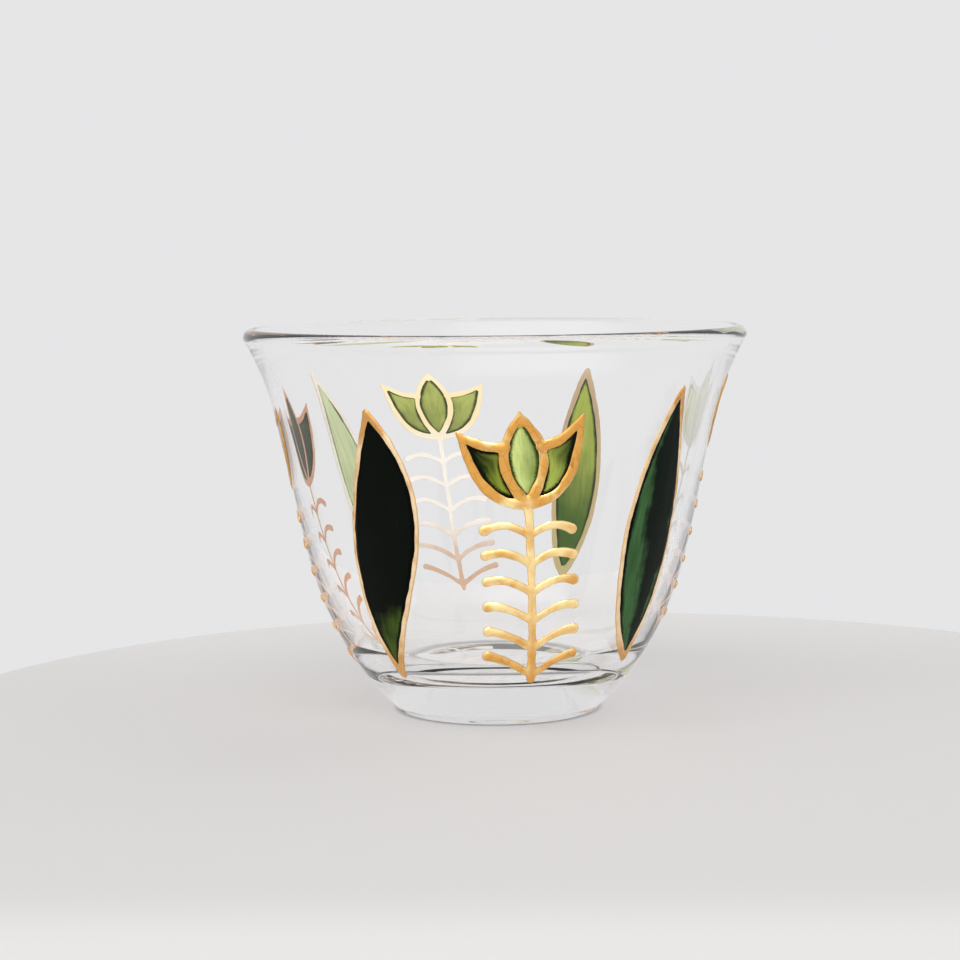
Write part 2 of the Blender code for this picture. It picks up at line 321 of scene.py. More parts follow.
def clear_glass():
    """Colourless glass that lets the lamps shine through to the paint behind it. The inside of the wall, but
    for its foot, its lip and the far right, only refracts, so that the far paint keeps its dark."""
    material, start = new_material("clear_glass")
    x, y, z = start.node("ShaderNodeTexCoord", {}, {}, "Object").xyz()
    height = z / MM
    depth = wall_radius(GLASS_WALL, height) - (x * x + y * y) ** 0.5 / MM
    inside = depth.between(*INSIDE_DEPTH) * height.between(*QUIET_BOTTOM) * (1.0 - height.between(*QUIET_TOP))
    quiet = inside * (1.0 - (x / MM).between(*QUIET_RIGHT))
    mirrored = start.node("ShaderNodeFresnel", {}, {"IOR": GLASS_INDEX}).between(*TOTAL_REFLECTION)
    polish = {"Roughness": 0.0, "IOR": GLASS_INDEX}
    glass_values = {"Base Color": WHITE, "Transmission Weight": 1.0, **polish}
    glass = start.node("ShaderNodeBsdfPrincipled", {}, glass_values)
    bare = start.node("ShaderNodeBsdfRefraction", {}, {"Color": WHITE, **polish})
    wall = start.node("ShaderNodeMixShader", {}, {0: quiet * (1.0 - mirrored), 1: glass, 2: bare})
    open_way = start.node("ShaderNodeBsdfTransparent", {}, {})
    lamp_ray = start.node("ShaderNodeLightPath", {}, {}, "Is Shadow Ray")
    both = start.node("ShaderNodeMixShader", {}, {0: lamp_ray, 1: wall, 2: open_way})
    tint_values = {"Color": GLASS_TINT, "Density": GLASS_TINT_DENSITY}
    tint = start.node("ShaderNodeVolumeAbsorption", {}, tint_values)
    start.node("ShaderNodeOutputMaterial", {}, {"Surface": both, "Volume": tint})
    return material


glass_values = {**GLASS_WALL, **GLASS_PROFILE, "Turns": TURNS, "Material": clear_glass()}
glass_start = bpy.data.meshes.new("glass_start")
made_piece("glass_body", glass_start, turned_glass(), glass_values, ["glass_cup"])


# Gold lines: raised relief paste, laid by hand from a fine nozzle on the outside of the glass, with a satin
# gold pigment in it. Each drawing is made flat, in millimetres across and up the wall. The nodes lay a bead
# along every stroke, run the beads together as wet paste does, settle them flat and wrap them on the wall.
PASTE_VOXEL = 0.09
PASTE_BED = 0.03
OUTLINE_BEAD = 0.66
STEM_BEAD = 0.52
LEAFLET_BEAD = 0.54
LEAF_BEAD = 0.35
CRACK_BROWN = (0.30, 0.11, 0.02, 1.0)
SIDE_SHADE_BROWN = (0.56, 0.27, 0.05, 1.0)
SPECK_BROWN = (0.42, 0.19, 0.04, 1.0)


def on_wall(size, across, height, lift):
    """Place on the wall for a spot of the flat drawing, in metres."""
    radius, level = off_wall(size, height, lift)
    angle = size["Bearing"] + across / wall_radius(size, height)
    sine, cosine = angle.math("SINE", angle), angle.math("COSINE", angle)
    values = {"X": radius * sine * MM, "Y": radius * cosine * -MM, "Z": level * MM}
    return angle.node("ShaderNodeCombineXYZ", {}, values)


def noise_of(start, place, scale, seed, detail=2.0):
    """Noise at a place, from 0 to 1, with its own seed."""
    values = {"Vector": place, "W": seed, "Scale": scale, "Detail": detail}
    return start.node("ShaderNodeTexNoise", {"noise_dimensions": "4D"}, values)


def paste_line():
    """Tree that turns flat strokes into one relief line on the wall."""
    sizes = {**GLASS_WALL, "Bearing": 0.0, "Wander": 0.0, "Pressure": 0.0, "Relief": 0.0, "Bed": 0.0}
    size = node_tree("paste_line", {**sizes, "Voxel": 0.0, "Soften": 0, "Seed": 0.0})
    start = size["Geometry"]
    place = start.node("GeometryNodeInputPosition", {}, {})
    bead = start.node("GeometryNodeInputNamedAttribute", {}, {"Name": "bead"})
    line = start.node("GeometryNodeMeshToCurve", {}, {"Mesh": start})
    line = start.node("GeometryNodeResampleCurve", {"mode": "LENGTH"}, {"Curve": line, "Length": 0.2})
    drift = noise_of(start, place, 0.16, size["Seed"]).output("Color")
    drift_x, drift_y, _ = drift.xyz()
    drift_values = {"X": (drift_x - 0.5) * size["Wander"], "Y": (drift_y - 0.5) * size["Wander"]}
    shift = start.node("ShaderNodeCombineXYZ", {}, drift_values)
    press = 1.0 + (noise_of(start, place, 0.55, size["Seed"] + 7.0) - 0.5) * size["Pressure"]
    line = start.node("GeometryNodeSetCurveRadius", {}, {"Curve": line, "Radius": bead * press})
    line = start.node("GeometryNodeSetPosition", {}, {"Geometry": line, "Offset": shift})
    radius = start.node("GeometryNodeInputRadius", {}, {})
    ring = start.node("GeometryNodeCurvePrimitiveCircle", {}, {"Resolution": 12, "Radius": 1.0})
    sweep_values = {"Curve": line, "Profile Curve": ring, "Scale": radius, "Fill Caps": True}
    sweep = start.node("GeometryNodeCurveToMesh", {}, sweep_values)
    ends = start.node("GeometryNodeCurveEndpointSelection", {}, {"Start Size": 1, "End Size": 1})
    drop = start.node("GeometryNodeMeshIcoSphere", {}, {"Radius": 1.0, "Subdivisions": 3})
    drop_values = {"Points": line, "Selection": ends, "Instance": drop, "Scale": radius}
    drops = start.node("GeometryNodeInstanceOnPoints", {}, drop_values)
    drops = start.node("GeometryNodeRealizeInstances", {}, {"Geometry": drops})
    wet = start.node("GeometryNodeJoinGeometry", {}, {"Geometry": [sweep, drops]})
    body_values = {"Mesh": wet, "Voxel Size": size["Voxel"], "Interior Band Width": size["Voxel"] * 3.0}
    body = start.node("GeometryNodeMeshToVolume", {"resolution_mode": "VOXEL_SIZE"}, body_values)
    skin = start.node("GeometryNodeVolumeToMesh", {}, {"Volume": body, "Threshold": 0.1})
    ease_values = {"Value": place, "Iterations": size["Soften"]}
    eased = start.node("GeometryNodeBlurAttribute", {"data_type": "FLOAT_VECTOR"}, ease_values)
    skin = start.node("GeometryNodeSetPosition", {}, {"Geometry": skin, "Position": eased})
    across, height, lift = place.xyz()
    lift = lift.math("MAXIMUM", lift * size["Relief"], -1.0 * size["Bed"])
    kept = {"Geometry": skin, "Name": "relief", "Value": lift}
    skin = start.node("GeometryNodeStoreNamedAttribute", {}, kept)
    wrap_values = {"Geometry": skin, "Position": on_wall(size, across, height, lift)}
    wrapped = start.node("GeometryNodeSetPosition", {}, wrap_values)
    relief = start.node("GeometryNodeInputNamedAttribute", {}, {"Name": "relief"})
    close_tree(wrapped, size, relief.math("LESS_THAN", relief, -0.5 * size["Bed"]))
    return start.tree


def steps(count):
    """Evenly spaced shares from 0 to 1."""
    return [i / (count - 1) for i in range(count)]


def curve(count, *points):
    """Points along a cubic Bezier curve."""
    return [bezier(t, *points) for t in steps(count)]


def lens_edge(base, tip, bulge, belly, count=33):
    """One edge of a lens from base to tip, which bulges most at the belly share of its length."""
    points = []
    for t in steps(count):
        share = t ** (math.log(0.5) / math.log(belly))
        across = base[0] + (tip[0] - base[0]) * t + bulge * 4.0 * share * (1.0 - share)
        points.append((across, base[1] + (tip[1] - base[1]) * t))
    return points


def swelling(path, bead, first, last):
    """A stroke with its bead radii: the nozzle leaves more paste where it starts and stops."""
    shares = steps(len(path))
    return [(*place, bead * (1.0 + first * (1.0 - t) ** 5 + last * t ** 5)) for place, t in zip(path, shares)]


def pointed(first, second, bead):
    """Short stroke that fills the corner where two paths end and draws it out to a point."""
    tip = Vector(first[-1])
    way = sum(((tip - Vector(path[-4])).normalized() for path in (first, second)), Vector((0.0, 0.0)))
    way.normalize()
    return [(*(tip + way * (0.6 - 1.4 * t)), bead * (0.3 + 1.3 * t - 0.8 * t * t)) for t in steps(9)]


def stroke_mesh(name, strokes):
    """Flat start mesh of open strokes, each a list of across, height and bead radius."""
    mesh = bpy.data.meshes.new(name)
    places, edges, beads = [], [], []
    for stroke in strokes:
        first = len(places)
        places += [(across, height, 0.0) for across, height, _ in stroke]
        beads += [bead for _, _, bead in stroke]
        edges += [(i, i + 1) for i in range(first, len(places) - 1)]
    mesh.from_pydata(places, edges, [])
    mesh.attributes.new("bead", "FLOAT", "POINT").data.foreach_set("value", beads)
    return mesh


def gold_paste(name, pale, deep, crown):
    """Satin gold paste: pale in patches, warmer where it stands thick, at the foot and above the crown, brown
    in its fine cracks and in specks, with painted shade in brown down the low sides of each bead."""
    material, start = new_material(name)
    place = start.node("ShaderNodeTexCoord", {}, {}, "Object")
    relief = start.node("ShaderNodeAttribute", {"attribute_name": "relief"}, {}, "Fac")
    patch = noise_of(start, place, 300.0, 1.0, 3.0)
    grain = noise_of(start, place, 5200.0, 2.0, 2.0)
    _, _, height = place.xyz()
    rise = height / MM + (patch - 0.5) * 4.0
    warm = 1.0 - rise.between(8.5, 12.0) * (1.0 - rise.between(crown, crown + 3.5))
    thick = (relief * 1.2 + (patch - 0.5) * 1.7 + warm * 0.35).between(0.05, 0.65)
    gold = thick.mix((*pale, 1.0), (*deep, 1.0))
    cell_values = {"Vector": place, "Scale": 560.0}
    crack = start.node("ShaderNodeTexVoronoi", {"feature": "DISTANCE_TO_EDGE"}, cell_values)
    line = (1.0 - (crack + grain * 0.06).between(0.02, 0.06)) * (0.25 + 0.5 * warm)
    gold = line.mix(gold, CRACK_BROWN)
    # Painted shade: the low sides of each bead are darkened brown to show its relief.
    side = (1.0 - relief.between(0.04, 0.20)) * 0.7
    gold = side.mix(gold, SIDE_SHADE_BROWN)
    speck = (grain + patch * 0.4).between(0.78, 0.90) * 0.2
    gold = speck.mix(gold, SPECK_BROWN)
    bump_values = {"Strength": 0.4, "Distance": 0.05 * MM, "Height": grain * 0.3 + patch * 3.0}
    bump = start.node("ShaderNodeBump", {}, bump_values)
    shader_values = {"Base Color": gold, "Metallic": 0.6, "Roughness": 0.18 + 0.1 * grain, "Normal": bump}
    paste = start.node("ShaderNodeBsdfPrincipled", {}, shader_values)
    start.node("ShaderNodeOutputMaterial", {}, {"Surface": paste})
    return material


def paste_back(name, low, middle, high):
    """The paste where it lies on the glass and is seen through it: dull, with its colour changing up the wall
    as painted light and shade.
    """
    material, start = new_material(name)
    place = start.node("ShaderNodeTexCoord", {}, {}, "Object")
    patch = noise_of(start, place, 400.0, 5.0, 3.0)
    _, _, height = place.xyz()
    # Painted light and shade: the colour goes from low to middle to high up the wall.
    rise = height + (patch - 0.5) * 6.0 * MM
    colour = rise.between(14.0 * MM, 23.0 * MM).mix((*low, 1.0), (*middle, 1.0))
    colour = rise.between(33.0 * MM, 37.0 * MM).mix(colour, (*high, 1.0))
    dull = {"Base Color": colour, "Roughness": 1.0, "Specular IOR Level": 0.0}
    paste = start.node("ShaderNodeBsdfPrincipled", {}, dull)
    start.node("ShaderNodeOutputMaterial", {}, {"Surface": paste})
    return material


PASTE_TREE = paste_line()
GOLD = gold_paste("gold_paste", (0.96, 0.76, 0.37), (0.70, 0.35, 0.07), 29.0)
# A darker copy of the same gold paste for the tulips at the sides: painted shade, as though they stood out of
# the light.
SHADED_GOLD = gold_paste("deep_gold_paste", (0.82, 0.56, 0.27), (0.52, 0.25, 0.07), 29.0)
LEAF_GOLD = gold_paste("leaf_gold_paste", (0.88, 0.68, 0.42), (0.62, 0.32, 0.10), 37.0)
# CREAM_BACK is painted light: brown low down as painted shade, near white up the stem as a painted
# reflection, and cream at the head where light falls in through the mouth. GREY_BACK goes grey up the wall as
# painted shade.
CREAM_BACK = paste_back("cream_paste_back", (0.62, 0.42, 0.29), (0.92, 0.86, 0.79), (0.92, 0.77, 0.46))
BROWN_BACK = paste_back("brown_paste_back", (0.76, 0.42, 0.26), (0.72, 0.42, 0.27), (0.62, 0.34, 0.21))
OCHRE_BACK = paste_back("ochre_paste_back", (0.80, 0.52, 0.24), (0.88, 0.60, 0.27), (0.78, 0.48, 0.24))
GREY_BACK = paste_back("grey_paste_back", (0.66, 0.40, 0.26), (0.56, 0.50, 0.45), (0.70, 0.68, 0.62))
OLIVE_BACK = paste_back("olive_paste_back", (0.50, 0.42, 0.20), (0.56, 0.44, 0.22), (0.50, 0.36, 0.22))
PALE_BACK = paste_back("pale_paste_back", (0.78, 0.70, 0.58), (0.86, 0.82, 0.72), (0.80, 0.74, 0.64))


def lay_paste(name, strokes, bearing, seed, top, back):
    """One relief line that stands for the CAD node of the same name."""
    values = {**GLASS_WALL, "Bearing": math.radians(bearing), "Wander": 0.6, "Pressure": 0.6, "Relief": 0.5}
    values.update({"Bed": PASTE_BED, "Voxel": PASTE_VOXEL, "Soften": 2, "Seed": seed})
    values.update({"Material": top, "Back Material": back})
    made_piece(name + "_paste", stroke_mesh(name, strokes), PASTE_TREE, values, [name])


# Tulips: four flowers round the cup, each a head of three petals on a stem with six pairs of leaflets, drawn
# in gold paste. Head points are across and height from the stem. A flower's row holds its bearing, lift of
# the foot, lean for each step up, scale, head scale, tilt of the head, reach of its right tip and bead scale.
HEAD_BASE = (0.0, 29.9)
SIDE_PULLS = ((5.4, 30.1), (6.7, 33.6))
SIDE_TIP = (7.9, 39.4)
NOTCH_PULL = (4.9, 37.7)
NOTCH_SHARE = 0.66
MIDDLE_TIP = (0.0, 41.4)
MIDDLE_HALF_WIDTH = 2.6
STEM_FOOT = 7.0
LEAFLET_PAIRS = 6
LEAFLET_TOP = 25.7
LEAFLET_PITCH = 3.65
LEAFLET_LENGTH = 5.5
TULIP_NAMES = ("bearing", "lift", "lean", "scale", "head", "tilt", "reach", "bead")
TULIP_ROWS = (
    (8.4, 0.0, -0.06, 1.0, 0.94, 4.0, 1.0, 1.0),
    (96.0, 2.4, 0.0, 1.08, 0.95, 0.0, 0.0, 0.72),
    (197.4, 4.4, 0.07, 1.0, 0.96, 0.0, 0.0, 0.66),
    (266.5, -2.4, 0.0, 1.08, 1.05, 0.0, 0.0, 0.72),
)
TULIPS = tuple(dict(zip(TULIP_NAMES, row)) for row in TULIP_ROWS)


def leaflet(pair, side):
    """Centre line of one leaflet: the upper pairs arch over, the lower ones reach up."""
    low = pair / (LEAFLET_PAIRS - 1)
    root = LEAFLET_TOP - LEAFLET_PITCH * pair
    rise = 0.9 + 2.0 * low
    arch = 1.0 - 0.6 * low
    return [(side * LEAFLET_LENGTH * t, root + rise * t + arch * 4.0 * t * (1.0 - t)) for t in steps(17)]


def head_half(flower, side):
    """Half of a head, side -1 or 1: the middle petal's edge, then the side petal's outer, top and inner."""
    reach = flower["reach"] if side > 0 else 0.0
    tip = (SIDE_TIP[0] + 0.3 * reach, SIDE_TIP[1] + reach)
    middle = lens_edge(HEAD_BASE, MIDDLE_TIP, MIDDLE_HALF_WIDTH, 0.5)
    outer = curve(33, HEAD_BASE, *SIDE_PULLS, tip)
    notch = round(NOTCH_SHARE * (len(middle) - 1))
    top = curve(17, middle[notch], NOTCH_PULL, NOTCH_PULL, tip)
    inner = middle[:notch + 1] + top[1:]
    turn = Matrix.Rotation(math.radians(flower["tilt"]), 2)
    base = Vector(HEAD_BASE)
    half = []
    for path in (middle, outer, top, inner):
        spokes = [turn @ Vector((side * across, height - HEAD_BASE[1])) for across, height in path]
        half.append([tuple(base + spoke * flower["head"]) for spoke in spokes])
    return half


def placed(path, flower):
    """A flower's path scaled about the stem's foot, lifted up the wall and leaned to the side."""
    points = []
    for across, height, *bead in path:
        rise = (height - STEM_FOOT) * flower["scale"]
        sway = flower["lean"] * (rise - (HEAD_BASE[1] - STEM_FOOT) * flower["scale"])
        points.append((across * flower["scale"] + sway, STEM_FOOT + flower["lift"] + rise, *bead))
    return points


def tulip_strokes(flower):
    """All strokes of one flower, with their bead radii."""
    beads = (OUTLINE_BEAD, STEM_BEAD, LEAFLET_BEAD)
    outline, stem_bead, leaf_bead = (flower["bead"] * bead for bead in beads)
    stem = [(0.0, HEAD_BASE[1] + (STEM_FOOT - HEAD_BASE[1]) * t) for t in steps(33)]
    strokes = [swelling(stem, stem_bead, 0.1, 0.15)]
    for side in (-1, 1):
        middle, outer, top, _ = head_half(flower, side)
        strokes.append(swelling(middle, outline, 0.1, -0.3))
        strokes.append(swelling(outer, outline, 0.1, -0.4))
        strokes.append(swelling(top, outline, 0.2, -0.4))
        strokes.append(pointed(outer, top, outline))
        for pair in range(LEAFLET_PAIRS):
            strokes.append(swelling(leaflet(pair, side), leaf_bead, -0.1, 0.35))
    strokes.append(pointed(*(head_half(flower, side)[0] for side in (-1, 1)), outline))
    return [placed(stroke, flower) for stroke in strokes]


TULIP_BACKS = (OCHRE_BACK, GREY_BACK, CREAM_BACK, BROWN_BACK)
# Tulips 2 and 4, at the sides, take the darker copy of the gold as painted shade; all four are the same
# paste.
for number, flower in enumerate(TULIPS, 1):
    top = GOLD if number in (1, 3) else SHADED_GOLD
    back = TULIP_BACKS[number - 1]
    lay_paste(f"tulip_{number}_gold_line", tulip_strokes(flower), flower["bearing"], 10.0 * number, top, back)


# Leaves: four long pointed leaves between the flowers, each one closed line of gold paste. Each has its
# bearing, foot and tip height, lean, then the width and widest place of its left and right edge.
LEAVES = (
    (51.6, 8.4, 43.2, -1.2, (6.0, 0.42), (2.8, 0.55)),
    (154.1, 13.5, 46.0, 0.0, (3.9, 0.45), (2.9, 0.40)),
    (233.5, 10.0, 45.2, 6.0, (5.2, 0.45), (1.6, 0.50)),
    (325.0, 7.0, 41.0, 2.6, (3.6, 0.48), (5.8, 0.60)),
)


def leaf_edges(foot, tip, lean, left, right):
    """Left and right edge of a leaf."""
    base, point = (-0.5 * lean, foot), (0.5 * lean, tip)
    return lens_edge(base, point, -left[0], left[1]), lens_edge(base, point, *right)


LEAF_BACKS = (OCHRE_BACK, OLIVE_BACK, PALE_BACK, OCHRE_BACK)
for number, (bearing, *shape) in enumerate(LEAVES, 1):
    left_edge, right_edge = leaf_edges(*shape)
    strokes = [swelling(edge, LEAF_BEAD, 0.6, 0.5) for edge in (left_edge, right_edge)]
    strokes.append(pointed(left_edge, right_edge, LEAF_BEAD))
    strokes.append(pointed(left_edge[::-1], right_edge[::-1], 1.4 * LEAF_BEAD))
    back = LEAF_BACKS[number - 1]
    lay_paste(f"leaf_{number}_gold_line", strokes, bearing, 100.0 + 10.0 * number, LEAF_GOLD, back)


# Enamel: glossy green glass paint, floated into each gold outline while wet, so that it climbs the paste at
# its edges and settles thicker towards the foot. Each fill is a closed film that runs in under the paste.
ENAMEL_FILM = 0.10
ENAMEL_CLIMB = 0.03
ENAMEL_BED = 0.02
FILL_ROWS = 41
FILL_COLUMNS = 17


def even_points(path, count):
    """The same path with its points evenly spaced along it."""
    lengths = [0.0]
    for a, b in zip(path, path[1:]):
        lengths.append(lengths[-1] + math.dist(a, b))
    points, place = [], 0
    for share in steps(count):
        want = share * lengths[-1]
        while place < len(path) - 2 and lengths[place + 1] < want:
            place += 1
        along = (want - lengths[place]) / (lengths[place + 1] - lengths[place])
        points.append(tuple(a + (b - a) * along for a, b in zip(path[place], path[place + 1])))
    return points


def film_mesh(name, left, right):
    """Flat closed film between two edges, with its UV map and each spot's distance in from the edges."""
    rungs = list(zip(even_points(left, FILL_ROWS + 2), even_points(right, FILL_ROWS + 2)))[1:-1]
    top, bed, spots, insets = [], [], [], []
    for (a, b), v in zip(rungs, steps(FILL_ROWS)):
        for u in steps(FILL_COLUMNS):
            across, height = (p + (q - p) * u for p, q in zip(a, b))
            climb = ENAMEL_CLIMB * abs(2.0 * u - 1.0) ** 6
            top.append((across, height, ENAMEL_FILM + climb))
            bed.append((across, height, -ENAMEL_BED))
            spots.append((u, v))
            insets.append(min(u, 1.0 - u) * math.dist(a, b))
    wide, total = FILL_COLUMNS, len(top)
    faces = []
    for row in range(FILL_ROWS - 1):
        for i in range(row * wide, row * wide + wide - 1):
            faces.append((i, i + 1, i + wide + 1, i + wide))
            faces.append((total + i, total + i + wide, total + i + wide + 1, total + i + 1))
    rim = list(range(wide)) + [row * wide + wide - 1 for row in range(1, FILL_ROWS)]
    rim += list(range(total - 2, total - wide - 1, -1)) + [row * wide for row in range(FILL_ROWS - 2, 0, -1)]
    for i, j in zip(rim, rim[1:] + rim[:1]):
        faces.append((i, total + i, total + j, j))
    mesh = bpy.data.meshes.new(name)
    mesh.from_pydata(top + bed, [], faces)
    mesh.attributes.new("inset", "FLOAT", "POINT").data.foreach_set("value", insets + insets)
    layer = mesh.uv_layers.new(name="UVMap")
    for loop in mesh.loops:
        layer.data[loop.index].uv = spots[loop.vertex_index % total]
    return mesh


def film_on_wall():
    """Tree that wraps a flat film on the wall."""
    size = node_tree("film_on_wall", {**GLASS_WALL, "Bearing": 0.0, "Bed": 0.0})
    start = size["Geometry"]
    across, height, lift = start.node("GeometryNodeInputPosition", {}, {}).xyz()
    kept = {"Geometry": start, "Name": "relief", "Value": lift}
    film = start.node("GeometryNodeStoreNamedAttribute", {}, kept)
    values = {"Geometry": film, "Position": on_wall(size, across, height, lift)}
    wrapped = start.node("GeometryNodeSetPosition", {}, values)
    relief = start.node("GeometryNodeInputNamedAttribute", {}, {"Name": "relief"})
    close_tree(wrapped, size, relief.math("LESS_THAN", relief, -0.5 * size["Bed"]))
    return start.tree


def enamel(name, light, dark, along, sideways, fold, bias, mottle, edge, streaks, back):
    """Green enamel, shaded along the fill and to each side of a fold, streaked, and dark at its edges."""
    material, start = new_material(name)
    place = start.node("ShaderNodeTexCoord", {}, {}, "Object")
    u, v, _ = start.node("ShaderNodeUVMap", {"uv_map": "UVMap"}, {}).xyz()
    inset = start.node("ShaderNodeAttribute", {"attribute_name": "inset"}, {}, "Fac")
    cloud = noise_of(start, place, 330.0, 3.0, 3.0)
    grain = noise_of(start, place, 4200.0, 4.0, 2.0)
    brushed = start.node("ShaderNodeCombineXYZ", {}, {"X": u * 7.0, "Y": v * 2.5})
    streak = noise_of(start, brushed, 1.0, 6.0, 3.0)
    fine = noise_of(start, brushed, 2.6, 8.0, 3.0)
    aside = u.math("ABSOLUTE", u + (streak - 0.5) * 0.3 - fold)
    slope = bias + along * (v - 0.5) + sideways * (aside - 0.5)
    shade = slope + mottle * (cloud - 0.5) + 0.6 * (streak - 0.5)
    dim, bright = ([c * (1.0 + change) for c in light] + [1.0] for change in (-streaks, streaks))
    lit = fine.between(0.3, 0.7).mix(tuple(dim), tuple(bright))
    body = shade.between(0.0, 1.0).mix((*dark, 1.0), lit)
    pool = (inset + (grain - 0.5) * 0.5 + (cloud - 0.5) * 0.6).between(edge, edge + 0.45)
    colour = pool.mix(tuple(0.25 * c for c in dark) + (1.0,), body)
    shader_values = {"Base Color": colour, "Roughness": 1.0, "Specular IOR Level": 0.0}
    if not back:
        bump_values = {"Strength": 0.4, "Distance": 0.1 * MM, "Height": cloud + streak}
        bump = start.node("ShaderNodeBump", {}, bump_values)
        shader_values.update({"Roughness": 0.05 + 0.12 * cloud, "Specular IOR Level": 0.05, "Normal": bump})
    paint = start.node("ShaderNodeBsdfPrincipled", {}, shader_values)
    start.node("ShaderNodeOutputMaterial", {}, {"Surface": paint})
    return material


# A look holds its light and dark green, its shading along the fill and to the sides, the place of the fold,
# the bias to light, the mottle, the width of the dark edge and the strength of the streaks.
FILM_TREE = film_on_wall()
DARK_PETAL = ((0.065, 0.085, 0.020), (0.010, 0.014, 0.004), 0.2, 0.0, 0.0, 0.5, 0.8, 0.55, 0.2)
OLIVE_PETAL = ((0.42, 0.46, 0.12), (0.15, 0.19, 0.035), 0.6, -0.4, 0.0, 0.6, 0.8, 0.55, 0.1)
SAGE_PETAL = ((0.56, 0.60, 0.34), (0.32, 0.36, 0.16), 0.6, -0.4, 0.0, 0.6, 0.8, 0.55, 0.1)
PALE_PETAL = ((0.66, 0.68, 0.50), (0.46, 0.50, 0.32), 0.6, -0.4, 0.0, 0.6, 0.8, 0.3, 0.1)
PETAL_LOOKS = (
    {
        "left": ((0.20, 0.25, 0.03), (0.008, 0.014, 0.003), -1.6, 0.8, 0.0, 0.50, 0.5, 0.85, 0.1),
        "middle": ((0.50, 0.58, 0.20), (0.10, 0.16, 0.025), 0.3, -1.3, 0.0, 0.65, 0.7, 0.75, 0.1),
        "right": ((0.30, 0.36, 0.07), (0.012, 0.020, 0.004), -1.6, -0.8, 0.0, 0.62, 0.5, 0.8, 0.1),
    },
    {"left": OLIVE_PETAL, "middle": OLIVE_PETAL, "right": OLIVE_PETAL},
    {"left": OLIVE_PETAL, "middle": OLIVE_PETAL, "right": OLIVE_PETAL},
    {"left": DARK_PETAL, "middle": DARK_PETAL, "right": DARK_PETAL},
)
# Painted reflection: the far side of tulip 2, seen through the glass, has paler backs than its front,
# standing in for the glass's reflection washed over it.
PETAL_BACK_LOOKS = (
    PETAL_LOOKS[0],
    {"left": SAGE_PETAL, "middle": PALE_PETAL, "right": PALE_PETAL},
    *PETAL_LOOKS[2:],
)
LEAF_LOOKS = (
    ((0.040, 0.105, 0.034), (0.001, 0.005, 0.002), -1.8, 5.0, 0.68, 1.35, 2.4, 0.5, 0.3),
    ((0.34, 0.40, 0.07), (0.050, 0.11, 0.010), 2.0, -0.3, 0.0, 0.62, 0.6, 0.45, 0.12),
    ((0.22, 0.28, 0.06), (0.040, 0.075, 0.015), 1.2, 0.3, 0.0, 0.60, 0.8, 0.45, 0.15),
    ((0.045, 0.075, 0.010), (0.0012, 0.0025, 0.0010), -5.0, 0.6, 0.0, -1.15, 1.6, 0.5, 0.3),
)
# Painted light: leaf 3's back is a pale sage, much paler than its front, standing in for light shining
# through the enamel and the glass's reflection over it.
SAGE_LEAF = ((0.60, 0.66, 0.40), (0.38, 0.46, 0.24), 0.5, 0.0, 0.0, 0.6, 0.6, 0.3, 0.1)
LEAF_BACK_LOOKS = (*LEAF_LOOKS[:2], SAGE_LEAF, LEAF_LOOKS[3])


def lay_film(node, left, right, bearing, slot, look, back_look):
    """One enamel fill that stands for a CAD node."""
    values = {**GLASS_WALL, "Bearing": math.radians(bearing), "Bed": ENAMEL_BED}
    values["Material"] = enamel(node + "_enamel", *look, False)
    values["Back Material"] = enamel(node + "_enamel_back", *back_look, True)
    made_piece(node + "_film", film_mesh(node, left, right), FILM_TREE, values, [node])


for number, flower in enumerate(TULIPS, 1):
    left_middle, left_outer, _, left_inner = (placed(path, flower) for path in head_half(flower, -1))
    right_middle, right_outer, _, right_inner = (placed(path, flower) for path in head_half(flower, 1))
    edges = {
        "left": (left_outer, left_inner),
        "middle": (left_middle, right_middle),
        "right": (right_inner, right_outer),
    }
    backs = PETAL_BACK_LOOKS[number - 1]
    for label, look in PETAL_LOOKS[number - 1].items():
        name = f"tulip_{number}_{label}_petal"
        lay_film(name, *edges[label], flower["bearing"], "petal_green", look, backs[label])

for number, (bearing, *shape) in enumerate(LEAVES, 1):
    left_edge, right_edge = leaf_edges(*shape)
    looks = LEAF_LOOKS[number - 1], LEAF_BACK_LOOKS[number - 1]
    lay_film(f"leaf_{number}_green_fill", left_edge, right_edge, bearing, "leaf_green", *looks)


# Studio: the cup stands on a pale stand, round behind and longer in front, in an even pale room. A soft lamp
# shines from high in front on the left, a weak one fills in on the right, and a small one lights the paint.
STAND_CENTRE = (10.8, -8.0)
STAND_RADIUS = 91.5
STAND_FRONT = 1.55
STAND_EDGE = 1.5
STAND_DEPTH = 12.0
STAND_GAP = 0.05
STAND_SIDES = 128
# Painted light and shadow on the stand: its ends are paler as painted light, and a grey ring under the foot
# is a painted contact shadow.
STAND_NEAR = (0.62, 0.61, 0.61, 1.0)
STAND_LIT_ENDS = (0.70, 0.70, 0.70, 1.0)
STAND_LIT = (0.78, 0.775, 0.78, 1.0)
CONTACT_SHADOW_GREY = (0.12, 0.12, 0.125, 1.0)
BACKGROUND = (0.79, 0.79, 0.80, 1.0)
LAMP_WAY = (-0.35, -0.80, 0.55)
LAMP_LEVEL = 2.4
LAMP_COLOUR = (1.0, 0.99, 0.98, 1.0)
LAMP_SPREAD = (0.60, 0.97)
LAMP_MIRRORED = 0.6
FILL_WAY = (0.85, 0.35, 0.45)
FILL_LEVEL = 0.8
WALL_LEVEL = 0.25
CEILING_LEVEL = 0.35
GROUND_LEVEL = 0.15


